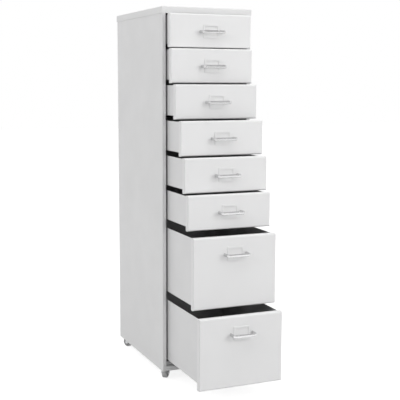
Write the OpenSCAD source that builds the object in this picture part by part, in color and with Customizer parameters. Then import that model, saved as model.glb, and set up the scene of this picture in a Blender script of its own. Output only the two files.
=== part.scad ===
// Tall sheet steel drawer cabinet on four castors: six shallow drawers over two deep ones.
// Millimetres. The origin is on the floor under the middle of the cabinet, +Z up,
// the drawers face -Y. Drawers are numbered from 1 at the top to 8 at the bottom.

/* [Cabinet] */
// Width over the top cover
cabinet_width = 280; // [240:1:420]
// Depth over the top cover, without the handles
cabinet_depth = 410; // [380:1:600]
// Thickness of the sheet steel
sheet = 1; // [0.8:0.1:1.4]
// Outer radius of the bends in the side panels and trays
bend_radius = 2.5; // [2:0.1:3.5]
// Height of the top cover's skirt
cover_skirt = 19.5; // [14:0.5:40]
// Outer radius of the top cover's edges
cover_radius = 3; // [2:0.1:3.2]
// Width of the post at each side of the drawers
post_width = 13; // [11:0.5:18]
// Depth of the lip folded back along the post
post_lip = 14; // [8:0.5:14]
// Width of the flange that carries the back panel
rear_flange = 15; // [12:0.5:24]

/* [Base] */
// From the floor to the lower edge of the side panels
floor_gap = 29; // [26:0.5:30]
// Height of the visible rail below the lowest drawer
rail_height = 13; // [8:0.5:16]
// Depth of the step behind the rail, which clears the lowest front
rail_step = 17; // [17:0.5:30]
// Depth of the lip under the rail
rail_lip = 10; // [6:0.5:12]

/* [Drawers] */
// Height of the top drawer's front
top_front_height = 94; // [85:0.5:160]
// Height of the other shallow drawers' fronts
shallow_front_height = 97.5; // [85:0.5:160]
// Height of a deep drawer's front
deep_front_height = 200; // [140:1:320]
// Gap above a shallow front
front_gap = 3; // [3:0.5:8]
// Gap above a deep front
deep_gap = 14; // [3:0.5:20]
// Gap above the base rail
rail_gap = 3; // [1:0.5:6]
// Gap between the top front and the cover
top_gap = 1; // [1:0.5:6]
// Gap at each side of a front
side_gap = 0.8; // [0.5:0.1:3]
// Depth of a front's folded edge
front_depth = 15; // [14.6:0.1:16]
// Outer radius of a front's edges
front_radius = 4; // [2:0.1:6]
// How far a front reaches below its tray
front_drop = 9.5; // [9:0.5:26]
// How far the lowest front reaches below its tray
lowest_front_drop = 16; // [15.5:0.5:26]
// Width of the lip inside a front, which the tray is screwed to
front_lip = 14; // [12:0.5:18]
// From a shallow front's top edge down to its tray's rim
rim_drop = 2.5; // [1:0.5:10]
// From a deep front's top edge down to its tray's rim
deep_rim_drop = 1.5; // [1:0.5:10]
// Gap between a post and a tray
tray_gap = 5; // [4:0.5:7]
// Space behind a closed tray
rear_space = 15; // [6:1:40]
// Height of the folded hem along a tray's rim
hem_height = 8; // [4:0.5:14]
// How far each drawer stands open, from the top one down
drawer_open = [25, 35.5, 68, 108.5, 136, 160, 198.5, 242]; // [0:0.5:250]
// How far a drawer travels from closed to its stop
full_travel = 300; // [260:1:310]

/* [Runners] */
// Thickness of the runner steel
runner_sheet = 1.2; // [1:0.1:1.4]
// How far a runner's ledge reaches under the tray
ledge_reach = 8; // [4:0.5:14]
// Clear height inside a runner
runner_height = 15; // [12:0.5:18]
// Width of a runner's upper lip
runner_lip = 9; // [6:0.5:9.5]
// Length of the ear at a tray's rear corners
ear_length = 25; // [12:1:40]
// Length of the stop in a runner
stop_length = 6; // [3:0.5:10]
// Running gap between a tray and its runners
running_gap = 0.3; // [0.2:0.05:0.6]
// Gap between an ear and the runner above and beside it
ear_gap = 0.7; // [0.4:0.1:1]

/* [Handles] */
// Distance between the middles of a handle's legs
handle_pitch = 66; // [60:1:110]
// How far a handle stands out from the front
handle_reach = 28; // [22:0.5:36]
// Height of the handle's bar
handle_height = 9; // [8:0.5:13]
// Thickness of the handle's bar
handle_thickness = 6; // [5.5:0.1:7.5]
// Radius of the handle's corners, to the middle of the bar
handle_radius = 7; // [6:0.5:14]
// From a front's top edge down to the middle of its handle
handle_drop = 50; // [40:1:55]

/* [Label frames] */
// Width of a label frame
label_width = 48; // [36:1:52]
// Height of a label frame
label_height = 38; // [30:1:42]
// Thickness of a label frame
label_thickness = 2.2; // [2:0.1:3]
// Width of a label frame's border
label_border = 4.5; // [3.5:0.1:6]
// How far a label frame reaches below the middle of the handle
label_drop = 17; // [8:1:20]
// Thickness of the slot for the card
card_slot = 1; // [0.6:0.1:1.2]

/* [Castors] */
// Height of a castor from the floor to the base's underside
castor_height = 52; // [50:0.5:56]
// Diameter of a wheel
wheel_diameter = 32; // [28:0.5:34]
// Width of a wheel's tread
wheel_width = 16; // [12:0.5:18]
// Radius of a tread's shoulders
tread_radius = 3; // [1:0.5:5]
// Diameter of a wheel's hub
hub_diameter = 14; // [11:0.5:17]
// Distance from the swivel's axis to the axle's axis
castor_trail = 11; // [8:0.5:11.5]
// Distance of a swivel's axis from the side of the cabinet
castor_side_inset = 27; // [26.5:0.5:60]
// Distance of a swivel's axis from the front and from the back
castor_end_inset = 41; // [41:0.5:80]
// Direction in which each castor trails: front left, front right, rear left, rear right
castor_turn = [236, 305, 124, 62]; // [0:1:360]
// Side of a castor's square plate
plate_size = 40; // [38:0.5:42]
// Thickness of a castor's plate
plate_thickness = 2; // [1.5:0.1:2.5]
// Distance between a plate's screws
plate_pitch = 28; // [26:0.5:30]
// Diameter of the swivel pin
swivel_diameter = 8; // [7:0.1:10]
// Diameter of the swivel's bearing ring
bearing_diameter = 22; // [20:0.5:24]
// Thickness of a fork's steel
fork_sheet = 1.6; // [1.2:0.1:2]
// Diameter of a wheel's axle
axle_diameter = 6; // [5:0.1:7]
// Radius of a fork's leg around the axle
fork_end_radius = 7; // [6:0.5:8]

/* [Screws] */
// Diameter of the screws
screw_diameter = 4; // [3:0.1:4.2]
// Diameter of the screws' heads
screw_head = 7.5; // [6.5:0.1:8]
// Height of the screws' heads
screw_head_height = 2.2; // [1.6:0.1:2.4]
// Clearance of a screw's hole, on the diameter
screw_clearance = 0.4; // [0.2:0.05:0.8]

/* [Hidden] */
$fn = 48;
// A cut reaches this far past the face it opens
over = 1;

// Colours, as the cabinet shows them
shell_white = [0.86, 0.86, 0.86];
front_white = [0.91, 0.91, 0.91];
tray_white = [0.82, 0.82, 0.82];
chrome = [0.75, 0.76, 0.78];
zinc = [0.62, 0.64, 0.66];
fork_grey = [0.35, 0.35, 0.36];
wheel_grey = [0.22, 0.22, 0.23];

// Rows of drawers
drawer_count = 8;
shallow_count = 6;
function is_deep(n) = n > shallow_count;
function front_height(n) =
    is_deep(n) ? deep_front_height : (n == 1 ? top_front_height : shallow_front_height);
function gap_above(n) = is_deep(n) ? deep_gap : front_gap;

// Heights
base_bottom = floor_gap;
rail_top = floor_gap + rail_height;
lowest_front_z = rail_top + rail_gap;
base_top = castor_height + sheet;
function front_z(n) = n == drawer_count ? lowest_front_z
    : front_z(n + 1) + front_height(n + 1) + gap_above(n + 1);
function front_top(n) = front_z(n) + front_height(n);
function tray_z(n) = front_z(n) + (n == drawer_count ? lowest_front_drop : front_drop);
function rim_z(n) = front_top(n) - (is_deep(n) ? deep_rim_drop : rim_drop);
function handle_z(n) = front_top(n) - handle_drop;
function ledge_top(n) = tray_z(n) - running_gap;
cover_z = front_top(1) + top_gap;
cabinet_height = cover_z + cover_skirt;
panel_top = cabinet_height - cover_radius;

// Plan of the shell
half_width = cabinet_width / 2;
half_depth = cabinet_depth / 2;
side_out = half_width - sheet;
side_in = side_out - sheet;
side_front = -half_depth + sheet;
side_rear = half_depth - 2 * sheet;
flange_in = side_rear - sheet;
opening_half = half_width - post_width;

// Fronts and trays
front_half = opening_half - side_gap;
tray_half = opening_half - tray_gap;
function face_y(n) = -half_depth - drawer_open[n - 1];
function tray_front(n) = face_y(n) + front_depth;
tray_length = side_rear - rear_space + half_depth - front_depth;
function tray_rear(n) = tray_front(n) + tray_length;
lip_screw_x = tray_half - 2 * sheet - screw_head / 2 - screw_clearance;
lip_screw_margin = 18;
access_hole = screw_head + 3;

// Runners
runner_out = side_in;
runner_web = runner_out - runner_sheet;
ledge_in = tray_half - ledge_reach;
lip_in = runner_out - runner_lip;
runner_front = side_front + post_lip + 2 * sheet;
runner_rear = flange_in - 2 * sheet;
runner_length = runner_rear - runner_front;
ear_out = runner_web - ear_gap;
ear_inset = sheet;
ear_rise = runner_height - running_gap - ear_gap - sheet;
closed_ear_front = side_rear - rear_space - ear_inset - ear_length;
stop_play = 0.5;
stop_rear = closed_ear_front - full_travel - stop_play;

// Screws
screw_hole = screw_diameter + screw_clearance;
screw_grip = 6;
handle_screw_depth = 6;
handle_thread_play = 0.2;
back_screw_rows = 4;
back_screw_margin = 60;
back_screw_x = side_out - rear_flange / 2;
back_screw_length = 2 * sheet + 2;
plate_screw_length = plate_thickness + sheet + 0.8;

// Castors
castor_places = [[-1, -1], [1, -1], [-1, 1], [1, 1]];
castor_x = half_width - castor_side_inset;
castor_y = half_depth - castor_end_inset;
plate_z = castor_height - plate_thickness;
plate_corner = 4;
bearing_height = 1.4;
swivel_play = 0.2;
crown_top = plate_z - bearing_height - swivel_play;
crown_bottom = crown_top - fork_sheet;
swivel_head = swivel_diameter + 5;
swivel_head_height = 1.8;
swivel_bore_play = 0.15;
wheel_radius = wheel_diameter / 2;
hub_length = wheel_width + 1.8;
hub_play = 0.2;
tread_thickness = 5;
web_recess = 3;
wheel_bore_play = 0.1;
fork_in = hub_length / 2 + hub_play;
fork_out = fork_in + fork_sheet;
crown_radius = bearing_diameter / 2 + 2;
fork_back = 10;
axle_head = axle_diameter + 4;
axle_head_height = 1.8;
axle_hole_play = 0.2;

// A quarter of a bent sheet, its middle at the origin, in the quadrant that turn gives
module bend(radius, thickness, turn) {
    rotate([0, 0, turn]) intersection() {
        difference() {
            circle(radius);
            circle(radius - thickness);
        }
        square(radius);
    }
}

// Profile across a folded pan: its sides from y = 0 up to the rounded edges of its face
module pan_profile(width, depth, radius) {
    translate([-width / 2, 0]) square([width, depth - radius]);
    translate([-width / 2 + radius, 0]) square([width - 2 * radius, depth]);
    for (side = [-1, 1]) translate([side * (width / 2 - radius), depth - radius]) circle(radius);
}

// A block with four rounded edges round its upper face, its underside's middle at the origin
module pan_block(width, length, depth, radius) {
    intersection() {
        translate([0, length / 2, 0]) rotate([90, 0, 0]) linear_extrude(length)
            pan_profile(width, depth, radius);
        translate([-width / 2, 0, 0]) rotate([90, 0, 90]) linear_extrude(width)
            pan_profile(length, depth, radius);
    }
}

// A folded pan, open below
module pan(width, length, depth, radius) {
    difference() {
        pan_block(width, length, depth, radius);
        translate([0, 0, -over])
            pan_block(width - 2 * sheet, length - 2 * sheet, depth - sheet + over, radius - sheet);
    }
}

module round_rectangle(width, height, radius) {
    square([width - 2 * radius, height], center = true);
    square([width, height - 2 * radius], center = true);
    for (x = [-1, 1], y = [-1, 1])
        translate([x * (width / 2 - radius), y * (height / 2 - radius)]) circle(radius);
}

// A pan head screw: its head's seat at the origin, the shank along +Z
module screw(length) {
    recess = screw_head_height / 2;
    slot = screw_diameter / 4;
    difference() {
        union() {
            translate([0, 0, -screw_head_height]) cylinder(d1 = screw_head - 1.2, d2 = screw_head,
                h = screw_head_height * 0.4);
            translate([0, 0, -screw_head_height * 0.6]) cylinder(d = screw_head,
                h = screw_head_height * 0.6);
            cylinder(d = screw_diameter, h = length);
        }
        for (turn = [0, 90]) rotate([0, 0, turn])
            translate([-screw_diameter / 2, -slot / 2, -screw_head_height - over])
                cube([screw_diameter, slot, recess + over]);
    }
}

// Left side panel in plan, x inwards from its skin and y from its front
module side_plan() {
    r = bend_radius;
    length = side_rear - side_front;
    post = opening_edge();
    translate([0, r]) square([sheet, length - 2 * r]);
    translate([r, r]) bend(r, sheet, 180);
    translate([r, 0]) square([post - 2 * r, sheet]);
    translate([post - r, r]) bend(r, sheet, 270);
    translate([post - sheet, r]) square([sheet, post_lip - r]);
    translate([r, length - r]) bend(r, sheet, 90);
    translate([r, length - sheet]) square([rear_flange - r, sheet]);
}

function opening_edge() = side_out - opening_half;

module side_panel() {
    difference() {
        translate([-side_out, side_front, base_bottom]) linear_extrude(panel_top - base_bottom)
            side_plan();
        for (row = [0 : back_screw_rows - 1])
            translate([-back_screw_x, side_rear + over, back_screw_z(row)])
                rotate([90, 0, 0]) cylinder(d = screw_hole, h = sheet + 2 * over);
    }
}

function back_screw_z(row) = base_top + back_screw_margin
    + row * (cover_z - base_top - 2 * back_screw_margin) / (back_screw_rows - 1);

module side_panel_left() {
    color(shell_white) side_panel();
}

module side_panel_right() {
    color(shell_white) mirror([1, 0, 0]) side_panel();
}

module back_panel() {
    color(shell_white) difference() {
        translate([-side_in, side_rear, base_bottom])
            cube([2 * side_in, sheet, panel_top - base_bottom]);
        for (side = [-1, 1], row = [0 : back_screw_rows - 1])
            translate([side * back_screw_x, side_rear + sheet + over, back_screw_z(row)])
                rotate([90, 0, 0]) cylinder(d = screw_hole, h = sheet + 2 * over);
    }
}

module top_cover() {
    color(shell_white) translate([0, 0, cover_z])
        pan(cabinet_width, cabinet_depth, cover_skirt, cover_radius);
}

// Side view of the base pan: its rail, the step over it, the floor and the rear edge
module base_profile() {
    r = bend_radius;
    front = side_front;
    step = front + rail_step;
    rear = flange_in;
    translate([front + r, base_bottom]) square([rail_lip - r, sheet]);
    translate([front + r, base_bottom + r]) bend(r, sheet, 180);
    translate([front, base_bottom + r]) square([sheet, rail_height - 2 * r]);
    translate([front + r, rail_top - r]) bend(r, sheet, 90);
    translate([front + r, rail_top - sheet]) square([rail_step - 2 * r + sheet, sheet]);
    translate([step - r + sheet, rail_top - sheet + r]) bend(r, sheet, 270);
    translate([step, rail_top - sheet + r]) square([sheet, base_top - rail_top + sheet - 2 * r]);
    translate([step + r, base_top - r]) bend(r, sheet, 90);
    translate([step + r, base_top - sheet]) square([rear - step - 2 * r, sheet]);
    translate([rear - r, base_top - r]) bend(r, sheet, 0);
    translate([rear - sheet, base_bottom]) square([sheet, base_top - r - base_bottom]);
}

module base_pan() {
    inner_front = side_front + rail_step;
    color(shell_white) difference() {
        union() {
            intersection() {
                translate([-opening_half, 0, 0]) rotate([90, 0, 90])
                    linear_extrude(2 * opening_half) base_profile();
                translate([-half_width, side_front, 0])
                    cube([cabinet_width, cabinet_depth, base_top]);
            }
            for (side = [0, 1]) mirror([side, 0, 0]) {
                translate([opening_half - over, inner_front + bend_radius, castor_height])
                    cube([side_in - opening_half + over,
                        flange_in - inner_front - 2 * bend_radius, sheet]);
                translate([side_in - sheet, inner_front + bend_radius, base_bottom])
                    cube([sheet, flange_in - inner_front - 2 * bend_radius,
                        base_top - base_bottom]);
            }
        }
        for (place = castor_places) castor_screw_holes(place, castor_height - over, sheet + 2 * over);
    }
}

// One C shaped runner on the right side panel, for drawer n, with the stop for the tray's ear
module runner(n) {
    z = ledge_top(n);
    translate([0, runner_front, z]) {
        translate([ledge_in, 0, -runner_sheet])
            cube([runner_out - ledge_in, runner_length, runner_sheet]);
        translate([runner_web, 0, -runner_sheet])
            cube([runner_sheet, runner_length, runner_height + 2 * runner_sheet]);
        translate([lip_in, 0, runner_height])
            cube([runner_lip, runner_length, runner_sheet]);
    }
    translate([lip_in, stop_rear - stop_length, z - over / 2])
        cube([runner_web - lip_in + over / 2, stop_length, runner_height + over]);
}

module drawer_runners() {
    color(zinc) for (n = [1 : drawer_count], side = [0, 1]) mirror([side, 0, 0]) runner(n);
}

module castor_screw_holes(place, z, depth) {
    for (x = [-1, 1], y = [-1, 1])
        translate([place[0] * castor_x + x * plate_pitch / 2,
            place[1] * castor_y + y * plate_pitch / 2, z])
            cylinder(d = screw_hole, h = depth);
}

module cabinet_screws() {
    color(zinc) {
        for (place = castor_places, x = [-1, 1], y = [-1, 1])
            translate([place[0] * castor_x + x * plate_pitch / 2,
                place[1] * castor_y + y * plate_pitch / 2, plate_z])
                screw(plate_screw_length);
        for (side = [-1, 1], row = [0 : back_screw_rows - 1])
            translate([side * back_screw_x, side_rear + sheet, back_screw_z(row)])
                rotate([90, 0, 0]) screw(back_screw_length);
    }
}

// A plate with its bearing ring and the swivel pin that is riveted into it
module castor_plate() {
    translate([0, 0, plate_z]) linear_extrude(plate_thickness)
        round_rectangle(plate_size, plate_size, plate_corner);
    translate([0, 0, plate_z - bearing_height]) cylinder(d = bearing_diameter, h = bearing_height);
    translate([0, 0, crown_bottom - swivel_play])
        cylinder(d = swivel_diameter, h = plate_z - crown_bottom + swivel_play);
    translate([0, 0, crown_bottom - swivel_play - swivel_head_height])
        cylinder(d1 = swivel_head - 2, d2 = swivel_head, h = swivel_head_height);
}

module castor_plates() {
    color(zinc) difference() {
        for (place = castor_places)
            translate([place[0] * castor_x, place[1] * castor_y, 0]) castor_plate();
        for (place = castor_places)
            castor_screw_holes(place, plate_z - over, plate_thickness + 2 * over);
    }
}

// Puts a castor's piece in its place and turns its trail, which is along +X here
module at_castor(number) {
    translate([castor_places[number][0] * castor_x, castor_places[number][1] * castor_y, 0])
        rotate([0, 0, castor_turn[number]]) children();
}

module castor_fork(number) {
    color(fork_grey) at_castor(number) difference() {
        union() {
            translate([0, 0, crown_bottom]) cylinder(r = crown_radius, h = fork_sheet);
            translate([-fork_back, -fork_out, crown_bottom])
                cube([fork_back + castor_trail, 2 * fork_out, fork_sheet]);
            for (side = [-1, 1])
                translate([0, side * (fork_in + fork_sheet / 2) + fork_sheet / 2, 0])
                    rotate([90, 0, 0]) linear_extrude(fork_sheet) fork_leg();
        }
        translate([0, 0, crown_bottom - over])
            cylinder(d = swivel_diameter + swivel_bore_play, h = fork_sheet + 2 * over);
        translate([castor_trail, fork_out + over, wheel_radius]) rotate([90, 0, 0])
            cylinder(d = axle_diameter + axle_hole_play, h = 2 * fork_out + 2 * over);
    }
}

module fork_leg() {
    polygon([
        [-fork_back, crown_top],
        [castor_trail, crown_top],
        [castor_trail + fork_end_radius, wheel_radius],
        [castor_trail - fork_end_radius, wheel_radius],
        [-fork_back, crown_bottom - 3]
    ]);
    translate([castor_trail, wheel_radius]) circle(fork_end_radius);
}

module castor_axle(number) {
    color(zinc) at_castor(number) translate([castor_trail, 0, wheel_radius]) rotate([90, 0, 0]) {
        cylinder(d = axle_diameter, h = 2 * fork_out, center = true);
        for (side = [0, 1]) mirror([0, 0, side]) translate([0, 0, fork_out])
            cylinder(d1 = axle_head, d2 = axle_head - 3, h = axle_head_height);
    }
}

// A wheel's half section: hub, web and tread, turned round the axle
module wheel_section() {
    bore = (axle_diameter + wheel_bore_play) / 2;
    rim = wheel_radius - tread_thickness;
    translate([bore, -hub_length / 2]) square([hub_diameter / 2 - bore, hub_length]);
    translate([bore, -wheel_width / 2 + web_recess])
        square([wheel_radius - tread_radius - bore, wheel_width - 2 * web_recess]);
    difference() {
        union() {
            translate([rim, -wheel_width / 2]) square([tread_thickness - tread_radius, wheel_width]);
            translate([rim, -wheel_width / 2 + tread_radius])
                square([tread_thickness, wheel_width - 2 * tread_radius]);
            for (side = [-1, 1])
                translate([wheel_radius - tread_radius, side * (wheel_width / 2 - tread_radius)])
                    circle(tread_radius);
        }
        translate([rim - 2 * tread_radius, -wheel_width / 2]) square([2 * tread_radius, wheel_width]);
    }
}

module castor_wheel(number) {
    color(wheel_grey) at_castor(number) translate([castor_trail, 0, wheel_radius])
        rotate([90, 0, 0]) rotate_extrude() wheel_section();
}

// Cross section of a tray's floor and sides, with the hems along the rim
module tray_section(n) {
    r = bend_radius;
    wall = rim_z(n) - tray_z(n);
    hem_in = tray_half - 2 * sheet;
    translate([-tray_half + r, 0]) square([2 * tray_half - 2 * r, sheet]);
    for (side = [0, 1]) mirror([side, 0]) {
        translate([tray_half - r, r]) bend(r, sheet, 270);
        translate([tray_half - sheet, r]) square([sheet, wall - sheet - r]);
        translate([hem_in, wall - hem_height]) square([2 * sheet, hem_height - sheet]);
        translate([tray_half - sheet, wall - sheet]) circle(sheet);
    }
}

// Positions of the screws that join a front's lip to its tray: [side, height]
function lip_screws(n) = [for (side = [-1, 1], z = [tray_z(n) + lip_screw_margin,
    rim_z(n) - lip_screw_margin]) [side, z]];

module drawer_tray(n) {
    front = tray_front(n);
    bottom = tray_z(n);
    wall = rim_z(n) - bottom;
    color(tray_white) difference() {
        union() {
            translate([0, front, bottom]) rotate([90, 0, 0]) mirror([0, 0, 1])
                linear_extrude(tray_length) tray_section(n);
            for (y = [front, front + tray_length - sheet])
                translate([-tray_half + sheet, y, bottom])
                    cube([2 * (tray_half - sheet), sheet, wall - sheet]);
            for (side = [0, 1]) mirror([side, 0, 0])
                translate([tray_half - sheet / 2, front + tray_length - ear_inset - ear_length,
                    bottom + ear_rise])
                    cube([ear_out - tray_half + sheet / 2, ear_length, sheet]);
        }
        for (place = lip_screws(n))
            translate([place[0] * lip_screw_x, front - over, place[1]]) rotate([-90, 0, 0])
                cylinder(d = screw_hole, h = sheet + 2 * over);
        for (side = [-1, 1])
            translate([side * handle_pitch / 2, front - over, handle_z(n)]) rotate([-90, 0, 0])
                cylinder(d = access_hole, h = sheet + 2 * over);
    }
}

module drawer_front(n) {
    height = front_height(n);
    middle = front_z(n) + height / 2;
    lip_height = height - 2 * front_radius;
    color(front_white) difference() {
        union() {
            translate([0, face_y(n) + front_depth, middle]) rotate([90, 0, 0])
                pan(2 * front_half, height, front_depth, front_radius);
            for (side = [0, 1]) mirror([side, 0, 0])
                translate([front_half - sheet - front_lip, face_y(n) + front_depth - sheet,
                    middle - lip_height / 2])
                    cube([front_lip + sheet / 2, sheet, lip_height]);
        }
        for (place = lip_screws(n))
            translate([place[0] * lip_screw_x, face_y(n) + front_depth - sheet - over, place[1]])
                rotate([-90, 0, 0]) cylinder(d = screw_hole, h = sheet + 2 * over);
        for (side = [-1, 1])
            translate([side * handle_pitch / 2, face_y(n) - over, handle_z(n)])
                rotate([-90, 0, 0]) cylinder(d = screw_hole, h = sheet + 2 * over);
    }
}

// Section of the handle's bar: thickness along x, height along y
module handle_section() {
    r = handle_thickness / 2;
    flat = handle_height / 2 - r;
    square([handle_thickness, 2 * flat], center = true);
    for (side = [-1, 1]) translate([0, side * flat]) circle(r);
}

module drawer_handle(n) {
    bar_y = handle_reach - handle_thickness / 2;
    straight = handle_pitch / 2 - handle_radius;
    leg = bar_y - handle_radius;
    color(chrome) translate([0, face_y(n), handle_z(n)]) mirror([0, 1, 0]) difference() {
        union() {
            translate([-straight, bar_y, 0]) rotate([90, 0, 90])
                linear_extrude(2 * straight) handle_section();
            for (side = [0, 1]) mirror([side, 0, 0]) {
                translate([handle_pitch / 2, 0, 0]) rotate([-90, 0, 0])
                    linear_extrude(leg) handle_section();
                translate([straight, leg, 0]) rotate_extrude(angle = 90)
                    translate([handle_radius, 0]) handle_section();
            }
        }
        for (side = [-1, 1]) translate([side * handle_pitch / 2, -over, 0]) rotate([-90, 0, 0])
            cylinder(d = screw_diameter + handle_thread_play, h = handle_screw_depth + 1.5 + over);
    }
}

// A pressed frame round a window, with a slot behind it that takes the card from above
module drawer_label_frame(n) {
    middle = handle_z(n) - label_drop + label_height / 2;
    inner = label_border / 2;
    edge_radius = label_thickness / 2;
    color(front_white) translate([0, face_y(n), middle]) rotate([90, 0, 0]) difference() {
        linear_extrude(label_thickness)
            round_rectangle(label_width, label_height, edge_radius);
        translate([0, 0, -over]) linear_extrude(label_thickness + 2 * over)
            round_rectangle(label_width - 2 * label_border, label_height - 2 * label_border,
                edge_radius);
        translate([-label_width / 2 + inner, -label_height / 2 + inner, -over])
            cube([label_width - 2 * inner, label_height, card_slot + over]);
    }
}

module drawer_screws(n) {
    color(zinc) {
        for (place = lip_screws(n))
            translate([place[0] * lip_screw_x, tray_front(n) + sheet, place[1]])
                rotate([90, 0, 0]) screw(screw_grip);
        for (side = [-1, 1])
            translate([side * handle_pitch / 2, face_y(n) + sheet, handle_z(n)])
                rotate([90, 0, 0]) screw(handle_screw_depth + sheet);
    }
}

side_panel_left();
side_panel_right();
back_panel();
top_cover();
base_pan();
drawer_runners();
cabinet_screws();
castor_plates();
castor_fork(0);  // castor_fork_front_left
castor_fork(1);  // castor_fork_front_right
castor_fork(2);  // castor_fork_rear_left
castor_fork(3);  // castor_fork_rear_right
castor_axle(0);  // castor_axle_front_left
castor_axle(1);  // castor_axle_front_right
castor_axle(2);  // castor_axle_rear_left
castor_axle(3);  // castor_axle_rear_right
castor_wheel(0);  // castor_wheel_front_left
castor_wheel(1);  // castor_wheel_front_right
castor_wheel(2);  // castor_wheel_rear_left
castor_wheel(3);  // castor_wheel_rear_right
drawer_tray(1);  // drawer_1_tray
drawer_tray(2);  // drawer_2_tray
drawer_tray(3);  // drawer_3_tray
drawer_tray(4);  // drawer_4_tray
drawer_tray(5);  // drawer_5_tray
drawer_tray(6);  // drawer_6_tray
drawer_tray(7);  // drawer_7_tray
drawer_tray(8);  // drawer_8_tray
drawer_front(1);  // drawer_1_front
drawer_front(2);  // drawer_2_front
drawer_front(3);  // drawer_3_front
drawer_front(4);  // drawer_4_front
drawer_front(5);  // drawer_5_front
drawer_front(6);  // drawer_6_front
drawer_front(7);  // drawer_7_front
drawer_front(8);  // drawer_8_front
drawer_handle(1);  // drawer_1_handle
drawer_handle(2);  // drawer_2_handle
drawer_handle(3);  // drawer_3_handle
drawer_handle(4);  // drawer_4_handle
drawer_handle(5);  // drawer_5_handle
drawer_handle(6);  // drawer_6_handle
drawer_handle(7);  // drawer_7_handle
drawer_handle(8);  // drawer_8_handle
drawer_label_frame(1);  // drawer_1_label_frame
drawer_label_frame(2);  // drawer_2_label_frame
drawer_label_frame(3);  // drawer_3_label_frame
drawer_label_frame(4);  // drawer_4_label_frame
drawer_label_frame(5);  // drawer_5_label_frame
drawer_label_frame(6);  // drawer_6_label_frame
drawer_label_frame(7);  // drawer_7_label_frame
drawer_label_frame(8);  // drawer_8_label_frame
drawer_screws(1);  // drawer_1_screws
drawer_screws(2);  // drawer_2_screws
drawer_screws(3);  // drawer_3_screws
drawer_screws(4);  // drawer_4_screws
drawer_screws(5);  // drawer_5_screws
drawer_screws(6);  // drawer_6_screws
drawer_screws(7);  // drawer_7_screws
drawer_screws(8);  // drawer_8_screws
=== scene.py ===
# Tall white sheet steel drawer cabinet on four castors, on a white studio floor.
# Everything is in metres, in the cabinet's own frame: +Z up, the drawers face -Y.
import math

import bpy
from mathutils import Matrix, Vector


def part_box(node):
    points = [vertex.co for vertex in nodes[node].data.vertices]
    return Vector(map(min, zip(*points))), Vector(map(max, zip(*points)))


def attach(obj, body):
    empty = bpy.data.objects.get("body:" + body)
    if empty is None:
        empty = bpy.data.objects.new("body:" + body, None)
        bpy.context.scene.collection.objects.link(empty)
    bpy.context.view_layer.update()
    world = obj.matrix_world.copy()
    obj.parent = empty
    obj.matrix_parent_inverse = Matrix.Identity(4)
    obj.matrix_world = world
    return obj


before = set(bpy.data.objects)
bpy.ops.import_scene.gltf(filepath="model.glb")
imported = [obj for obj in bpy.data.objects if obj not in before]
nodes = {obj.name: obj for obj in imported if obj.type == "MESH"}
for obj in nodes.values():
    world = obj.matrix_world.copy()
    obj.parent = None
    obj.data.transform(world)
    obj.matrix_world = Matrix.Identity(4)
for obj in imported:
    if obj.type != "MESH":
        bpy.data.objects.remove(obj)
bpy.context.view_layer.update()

scene = bpy.context.scene

MM = 0.001
DRAWERS = range(1, 9)
CASTORS = ("front_left", "front_right", "rear_left", "rear_right")
SHELL = ("side_panel_left", "side_panel_right", "back_panel", "top_cover", "base_pan")

# The picture's width and the lens in pixels, the sensor in millimetres, and the place
# and turn of the camera that give the photograph's view
IMAGE_SIZE = 400
FOCAL_PIXELS = 880.7
SENSOR_WIDTH = 36
CLIP_END = 100
CAMERA_PLACE = Vector((-1.0305, -2.5588, 0.8744))
CAMERA_YAW = math.radians(23.198)
CAMERA_PITCH = math.radians(-7.534)
CAMERA_ROLL = math.radians(0.153)

# Sheet steel: its thickness, and the distance from a front's side to its tray's side
SHEET = 1 * MM
TRAY_SETBACK = 4.2 * MM
# How far before a face the point lies that tells which space the face looks into
FACE_PROBE = 1.5 * MM

# Rounding of the sheets' edges: the width of each, the steps over it, and the least
# angle between two faces that makes an edge
SHELL_EDGE = 0.3 * MM
FORK_EDGE = 0.3 * MM
FRONT_EDGE = 0.5 * MM
LABEL_FRAME_EDGE = 0.4 * MM
EDGE_SEGMENTS = 2
EDGE_ANGLE = math.radians(40)

# The card in a label frame: the frame's border over its sides and foot, the gaps at
# the frame's top and back, and the card's thickness, bow and steps across
CARD_BORDER = 2.6 * MM
CARD_TOP_GAP = 0.4 * MM
CARD_BACK_GAP = 0.05 * MM
CARD_THICKNESS = 0.4 * MM
CARD_BOW = 0.10 * MM
CARD_STEPS = 12

# Finishes, and the greys that paint shade, as linear colours
WHITE_SHELL = (0.752, 0.752, 0.754)
WHITE_FRONT = (0.812, 0.812, 0.814)
WHITE_TRAY = (0.765, 0.765, 0.768)
# Painted shade: a darker grey for the faces inside the shell and the trays, standing in for
# the shade in these hollows
INSIDE_SHADE_GREY = (0.430, 0.430, 0.434)
# Painted shade: the runners' dark grey stands in for the shade in the slits beside the
# trays
RUNNER_SHADE_GREY = (0.40, 0.40, 0.403)
CHROME = (0.67, 0.67, 0.675)
ZINC = (0.60, 0.61, 0.62)
FORK_GREY = (0.70, 0.70, 0.71)
WHEEL_GREY = (0.56, 0.56, 0.565)
CARD_WHITE = (0.82, 0.82, 0.82)
WHITE = (1, 1, 1)

# Textures: how fine each noise is, as features per metre, and the depth of its bumps
NOISE_MIDDLE = (0.3, 0.7)
TONE_SCALE = 9.0
RUBBED_SCALE = 22.0
ORANGE_PEEL_SCALE = 520.0
ORANGE_PEEL_DEPTH = 0.12 * MM
PAINT_GRAIN_SCALE = 2400.0
PAINT_GRAIN_DEPTH = 0.03 * MM
METAL_HAZE_SCALE = 60.0
METAL_MARK_SCALE = 900.0
METAL_MARK_DEPTH = 0.04 * MM
PLASTIC_TONE_SCALE = 70.0
PLASTIC_GRAIN_SCALE = 1500.0
PLASTIC_GRAIN_DEPTH = 0.05 * MM
FIBRE_SCALE = 700.0
FIBRE_STRETCH = (1, 1, 3)
FIBRE_DEPTH = 0.04 * MM

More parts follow.
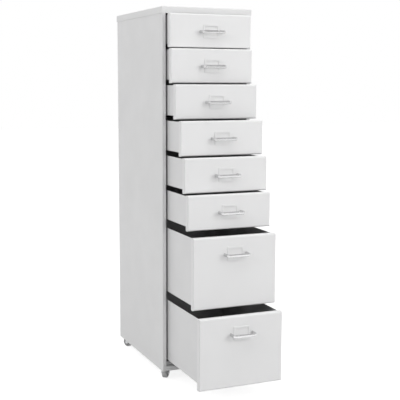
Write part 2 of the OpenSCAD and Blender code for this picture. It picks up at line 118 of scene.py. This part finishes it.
# How strong the bumps are, and the gloss of paint, card and floor
ORANGE_PEEL_STRENGTH = 0.25
PAINT_GRAIN_STRENGTH = 0.15
PLASTIC_GRAIN_STRENGTH = 0.3
FIBRE_STRENGTH = 0.3
PAINT_SPECULAR = 0.45
CARD_ROUGHNESS = 0.85
FLOOR_ROUGHNESS = 0.9
FLOOR_SPECULAR = 0.1

# The studio: the level of its white walls, and where and how dim the room before the
# cabinet is, which only the gloss of its surfaces shows
WORLD_STRENGTH = 0.50
ROOM_DIRECTION = (0.20, -0.74, 0.64)
ROOM_EDGE = 0.35
ROOM_LEVEL = 0.58
FLOOR_REACH = 14.0
FLOOR_COLOUR = (0.46, 0.46, 0.46)
FLOOR_GLOW = 0.82

# The lamps: name, place, aim, size in metres, power in watts
LAMPS = (
    ("right", (2.3, -4.0, 1.8), (0, -0.1, 0.5), 2.4, 72),
    ("left", (-3.4, -1.5, 2.9), (0, 0, 0.9), 2.4, 46),
    ("ceiling", (0.2, -1.6, 4.2), (0, -0.1, 0.6), 3.0, 52),
    ("backdrop", (-2.2, 3.2, 1.6), (0, 0, 0.6), 2.6, 24),
)


# Materials

def new_material(name):
    """A new material, with its node tree and its Principled shader."""
    material = bpy.data.materials.new(name)
    material.use_nodes = True
    tree = material.node_tree
    return material, tree, tree.nodes["Principled BSDF"]


def noise(tree, scale, detail, roughness=0.5, stretch=(1, 1, 1)):
    """Noise in the piece's own coordinates, so that it stays put when the piece moves."""
    place = tree.nodes.new("ShaderNodeTexCoord")
    mapping = tree.nodes.new("ShaderNodeMapping")
    mapping.inputs["Scale"].default_value = stretch
    texture = tree.nodes.new("ShaderNodeTexNoise")
    texture.inputs["Scale"].default_value = scale
    texture.inputs["Detail"].default_value = detail
    texture.inputs["Roughness"].default_value = roughness
    tree.links.new(place.outputs["Object"], mapping.inputs["Vector"])
    tree.links.new(mapping.outputs["Vector"], texture.inputs["Vector"])
    return texture.outputs["Fac"]


def spread(tree, value, low, high):
    """Maps the middle of a noise's range to low..high."""
    node = tree.nodes.new("ShaderNodeMapRange")
    node.inputs["From Min"].default_value = NOISE_MIDDLE[0]
    node.inputs["From Max"].default_value = NOISE_MIDDLE[1]
    node.inputs["To Min"].default_value = low
    node.inputs["To Max"].default_value = high
    tree.links.new(value, node.inputs["Value"])
    return node.outputs["Result"]


def tint(tree, shader, colour, value):
    """Colours the shader, multiplied by a value that varies over the surface."""
    node = tree.nodes.new("ShaderNodeVectorMath")
    node.operation = "SCALE"
    node.inputs[0].default_value = colour
    tree.links.new(value, node.inputs["Scale"])
    tree.links.new(node.outputs["Vector"], shader.inputs["Base Color"])


def bump(tree, heights, shader):
    """Chains bumps: heights is a list of (height socket, distance, strength)."""
    normal = None
    for height, distance, strength in heights:
        node = tree.nodes.new("ShaderNodeBump")
        node.inputs["Distance"].default_value = distance
        node.inputs["Strength"].default_value = strength
        tree.links.new(height, node.inputs["Height"])
        if normal is not None:
            tree.links.new(normal, node.inputs["Normal"])
        normal = node.outputs["Normal"]
    tree.links.new(normal, shader.inputs["Normal"])


def powder_coat(name, colour, tone=0.02, roughness=(0.34, 0.46)):
    """Baked powder coat: orange peel, a fine grain, faint clouds of tone and of gloss."""
    material, tree, shader = new_material(name)
    clouds = noise(tree, TONE_SCALE, detail=2.0)
    tint(tree, shader, colour, spread(tree, clouds, 1.0 - tone, 1.0 + tone))
    rubbed = noise(tree, RUBBED_SCALE, detail=4.0, roughness=0.6)
    tree.links.new(spread(tree, rubbed, *roughness), shader.inputs["Roughness"])
    orange_peel = noise(tree, ORANGE_PEEL_SCALE, detail=1.5)
    grain = noise(tree, PAINT_GRAIN_SCALE, detail=1.0)
    bump(tree, [(orange_peel, ORANGE_PEEL_DEPTH, ORANGE_PEEL_STRENGTH),
                (grain, PAINT_GRAIN_DEPTH, PAINT_GRAIN_STRENGTH)], shader)
    shader.inputs["Specular IOR Level"].default_value = PAINT_SPECULAR
    return material


def plated(name, colour, roughness, marks=0.15):
    """Plated metal with fine marks and a faint haze."""
    material, tree, shader = new_material(name)
    haze = noise(tree, METAL_HAZE_SCALE, detail=3.0)
    tint(tree, shader, colour, spread(tree, haze, low=0.95, high=1.03))
    tree.links.new(spread(tree, haze, *roughness), shader.inputs["Roughness"])
    scratches = noise(tree, METAL_MARK_SCALE, detail=2.0, roughness=0.7)
    bump(tree, [(scratches, METAL_MARK_DEPTH, marks)], shader)
    shader.inputs["Metallic"].default_value = 1.0
    return material


def moulded(name, colour, roughness=(0.42, 0.58)):
    """Moulded plastic with a fine grain and clouds of dust."""
    material, tree, shader = new_material(name)
    clouds = noise(tree, PLASTIC_TONE_SCALE, detail=4.0)
    tint(tree, shader, colour, spread(tree, clouds, low=0.85, high=1.15))
    tree.links.new(spread(tree, clouds, *roughness), shader.inputs["Roughness"])
    grain = noise(tree, PLASTIC_GRAIN_SCALE, detail=2.0)
    bump(tree, [(grain, PLASTIC_GRAIN_DEPTH, PLASTIC_GRAIN_STRENGTH)], shader)
    return material


def paper(name, colour):
    """Card with visible fibres."""
    material, tree, shader = new_material(name)
    fibres = noise(tree, FIBRE_SCALE, detail=5.0, roughness=0.7, stretch=FIBRE_STRETCH)
    tint(tree, shader, colour, spread(tree, fibres, low=0.97, high=1.02))
    bump(tree, [(fibres, FIBRE_DEPTH, FIBRE_STRENGTH)], shader)
    shader.inputs["Roughness"].default_value = CARD_ROUGHNESS
    return material


shell_paint = powder_coat("shell_powder_coat", WHITE_SHELL)
front_paint = powder_coat("front_powder_coat", WHITE_FRONT, tone=0.012)
tray_paint = powder_coat("tray_powder_coat", WHITE_TRAY)
# Painted shade inside the shell and the trays, as a darker grey coat
inside_shade_paint = powder_coat("inside_painted_shade", INSIDE_SHADE_GREY, tone=0.15, roughness=(0.55, 0.7))
# Painted shade on the runners, as a dark grey coat
runner_shade_paint = powder_coat("runner_painted_shade", RUNNER_SHADE_GREY, tone=0.2, roughness=(0.4, 0.6))
chrome = plated("chrome_plate", CHROME, roughness=(0.20, 0.28))
zinc = plated("zinc_plate", ZINC, roughness=(0.3, 0.5), marks=0.4)
fork_paint = powder_coat("fork_coat", FORK_GREY, tone=0.08)
wheel_plastic = moulded("wheel_plastic", WHEEL_GREY)
card_paper = paper("card_paper", CARD_WHITE)


# Painting and softening the CAD pieces

def fill_slot(slot, material):
    """Puts a material in an object's slot, and leaves the CAD mesh as it is."""
    slot.link = "OBJECT"
    slot.material = material


def paint(name, material):
    """Gives a CAD piece one material all over."""
    piece = nodes[name]
    if not piece.material_slots:
        piece.data.materials.append(material)
    for slot in piece.material_slots:
        fill_slot(slot, material)


def paint_inside(name, outside, is_inside):
    """Paints a CAD piece, and gives its faces that look into a hollow a darker grey coat:
    painted shade.
    """
    piece = nodes[name]
    mesh = piece.data
    while len(mesh.materials) < 2:
        mesh.materials.append(None)
    for slot, material in zip(piece.material_slots, (outside, inside_shade_paint)):
        fill_slot(slot, material)
    for polygon in mesh.polygons:
        probe = polygon.center + polygon.normal * FACE_PROBE
        polygon.material_index = 1 if is_inside(probe) else 0


def soften(name, width):
    """Rounds the sharp edges of a piece, as rolling and paint do."""
    modifier = nodes[name].modifiers.new("edge", "BEVEL")
    modifier.width = width
    modifier.segments = EDGE_SEGMENTS
    modifier.limit_method = "ANGLE"
    modifier.angle_limit = EDGE_ANGLE
    modifier.harden_normals = True


# The cabinet's shell: white outside, and painted shade inside, as a darker grey on the
# faces that look into it
shell_low, shell_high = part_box("side_panel_left")
shell_left, shell_front = shell_low[0], shell_low[1]
shell_rear = shell_high[1]
floor_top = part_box("base_pan")[1][2]
cover_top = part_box("top_cover")[1][2]


def inside_shell(point):
    """True where a point is in the room between the shell's sheets."""
    if abs(point.x) > abs(shell_left) - SHEET:
        return False
    if not floor_top < point.z < cover_top - SHEET:
        return False
    return shell_front + SHEET < point.y < shell_rear + SHEET


for name in SHELL:
    paint_inside(name, shell_paint, inside_shell)
    soften(name, SHELL_EDGE)
# The runners take the dark grey that paints the shade in the slits beside the trays
paint("drawer_runners", runner_shade_paint)
paint("cabinet_screws", zinc)
paint("castor_plates", zinc)

for place in CASTORS:
    paint("castor_fork_" + place, fork_paint)
    soften("castor_fork_" + place, FORK_EDGE)
    paint("castor_axle_" + place, zinc)
    paint("castor_wheel_" + place, wheel_plastic)


# The drawers: white fronts and trays, painted shade in a darker grey inside the trays, and
# a blank card each

def tray_room(number):
    """A test for points inside a drawer's tray, under its rim."""
    low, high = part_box("drawer_%d_tray" % number)
    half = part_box("drawer_%d_front" % number)[1][0] - TRAY_SETBACK - SHEET
    front, rear = low[1] + SHEET, high[1] - SHEET
    bottom, rim = low[2] + SHEET, high[2] - SHEET

    def inside(point):
        return abs(point.x) < half and front < point.y < rear and bottom < point.z < rim

    return inside


def label_card(number):
    """A blank card in a drawer's label frame, with a slight bow."""
    low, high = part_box("drawer_%d_label_frame" % number)
    back = high[1] - CARD_BACK_GAP
    face = back - CARD_THICKNESS
    left, right = low[0] + CARD_BORDER, high[0] - CARD_BORDER
    bottom, top = low[2] + CARD_BORDER, high[2] - CARD_TOP_GAP
    vertices = []
    for y in (face, back):
        for z in (bottom, top):
            for i in range(CARD_STEPS + 1):
                t = i / CARD_STEPS
                bow = CARD_BOW * math.sin(math.pi * t)
                vertices.append((left + (right - left) * t, y - bow, z))
    # Four rows of vertices, in this order: face bottom, face top, back bottom, back top
    row = CARD_STEPS + 1
    faces = []
    for i in range(CARD_STEPS):
        a, b, c, d = i, i + row, i + 2 * row, i + 3 * row
        faces.append((a, a + 1, b + 1, b))
        faces.append((c + 1, c, d, d + 1))
        faces.append((a, c, c + 1, a + 1))
        faces.append((b, b + 1, d + 1, d))
    faces.append((0, row, 3 * row, 2 * row))
    last = CARD_STEPS
    faces.append((last, last + 2 * row, last + 3 * row, last + row))
    mesh = bpy.data.meshes.new("label_card_%d" % number)
    mesh.from_pydata(vertices, [], faces)
    mesh.materials.append(card_paper)
    mesh.update()
    card = bpy.data.objects.new("label_card_%d" % number, mesh)
    scene.collection.objects.link(card)
    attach(card, "drawer_%d" % number)


for number in DRAWERS:
    prefix = "drawer_%d_" % number
    paint_inside(prefix + "tray", tray_paint, tray_room(number))
    paint(prefix + "front", front_paint)
    soften(prefix + "front", FRONT_EDGE)
    paint(prefix + "handle", chrome)
    paint(prefix + "label_frame", front_paint)
    soften(prefix + "label_frame", LABEL_FRAME_EDGE)
    paint(prefix + "screws", zinc)
    label_card(number)


# The floor, the white surroundings and the lamps

def math_node(tree, operation, first, second=None):
    """A calculation on two sockets; the second can be left for a fixed value."""
    node = tree.nodes.new("ShaderNodeMath")
    node.operation = operation
    tree.links.new(first, node.inputs[0])
    if second is not None:
        tree.links.new(second, node.inputs[1])
    return node


def seen_directly(tree):
    """1 for rays from the camera, and for what gloss and clear surfaces show."""
    rays = tree.nodes.new("ShaderNodeLightPath").outputs
    total = rays["Is Camera Ray"]
    for name in ("Is Glossy Ray", "Is Transmission Ray"):
        total = math_node(tree, "MAXIMUM", total, rays[name]).outputs[0]
    return total


def white_floor():
    """A floor that glows white where it is seen, and still takes the cabinet's shadow."""
    corners = [(-FLOOR_REACH, -FLOOR_REACH, 0), (FLOOR_REACH, -FLOOR_REACH, 0),
               (FLOOR_REACH, FLOOR_REACH, 0), (-FLOOR_REACH, FLOOR_REACH, 0)]
    mesh = bpy.data.meshes.new("studio_floor")
    mesh.from_pydata(corners, [], [(0, 1, 2, 3)])
    floor = bpy.data.objects.new("studio_floor", mesh)
    scene.collection.objects.link(floor)
    material, tree, shader = new_material("studio_floor")
    shader.inputs["Base Color"].default_value = FLOOR_COLOUR + (1,)
    shader.inputs["Roughness"].default_value = FLOOR_ROUGHNESS
    shader.inputs["Specular IOR Level"].default_value = FLOOR_SPECULAR
    shader.inputs["Emission Color"].default_value = WHITE + (1,)
    glow = math_node(tree, "MULTIPLY", seen_directly(tree))
    glow.inputs[1].default_value = FLOOR_GLOW
    tree.links.new(glow.outputs[0], shader.inputs["Emission Strength"])
    mesh.materials.append(material)


def surroundings():
    """White walls, dimmer where the room before the cabinet shows in its gloss."""
    world = bpy.data.worlds.new("studio")
    scene.world = world
    world.use_nodes = True
    tree = world.node_tree
    background = tree.nodes["Background"]
    background.inputs["Color"].default_value = WHITE + (1,)
    rays = tree.nodes.new("ShaderNodeLightPath").outputs
    direction = tree.nodes.new("ShaderNodeTexCoord")
    facing = tree.nodes.new("ShaderNodeVectorMath")
    facing.operation = "DOT_PRODUCT"
    facing.inputs[1].default_value = ROOM_DIRECTION
    tree.links.new(direction.outputs["Generated"], facing.inputs[0])
    gloss = tree.nodes.new("ShaderNodeMapRange")
    gloss.interpolation_type = "SMOOTHSTEP"
    gloss.inputs["From Min"].default_value = ROOM_EDGE
    gloss.inputs["To Min"].default_value = 1.0
    gloss.inputs["To Max"].default_value = ROOM_LEVEL
    tree.links.new(facing.outputs["Value"], gloss.inputs["Value"])
    indirect = tree.nodes.new("ShaderNodeMix")
    indirect.inputs["A"].default_value = WORLD_STRENGTH
    tree.links.new(rays["Is Glossy Ray"], indirect.inputs["Factor"])
    tree.links.new(gloss.outputs["Result"], indirect.inputs["B"])
    strength = math_node(tree, "MAXIMUM", rays["Is Camera Ray"], indirect.outputs["Result"])
    tree.links.new(strength.outputs[0], background.inputs["Strength"])


def soft_light(name, place, target, size, power):
    """A square lamp that lights the cabinet and doesn't show in its gloss."""
    data = bpy.data.lights.new(name, "AREA")
    data.shape = "SQUARE"
    data.size = size
    data.energy = power
    light = bpy.data.objects.new(name, data)
    scene.collection.objects.link(light)
    light.location = place
    aim = Vector(target) - Vector(place)
    light.rotation_euler = aim.to_track_quat("-Z", "Y").to_euler()
    light.visible_glossy = False


white_floor()
surroundings()
for lamp in LAMPS:
    soft_light(*lamp)

# The camera
camera_data = bpy.data.cameras.new("camera")
camera_data.sensor_fit = "HORIZONTAL"
camera_data.sensor_width = SENSOR_WIDTH
camera_data.lens = FOCAL_PIXELS / IMAGE_SIZE * SENSOR_WIDTH
camera_data.clip_end = CLIP_END
camera = bpy.data.objects.new("camera", camera_data)
scene.collection.objects.link(camera)
turn = (Matrix.Rotation(-CAMERA_YAW, 4, "Z")
        @ Matrix.Rotation(math.pi / 2 + CAMERA_PITCH, 4, "X")
        @ Matrix.Rotation(CAMERA_ROLL, 4, "Z"))
camera.matrix_world = Matrix.Translation(CAMERA_PLACE) @ turn
scene.camera = camera

scene.view_settings.view_transform = "Standard"
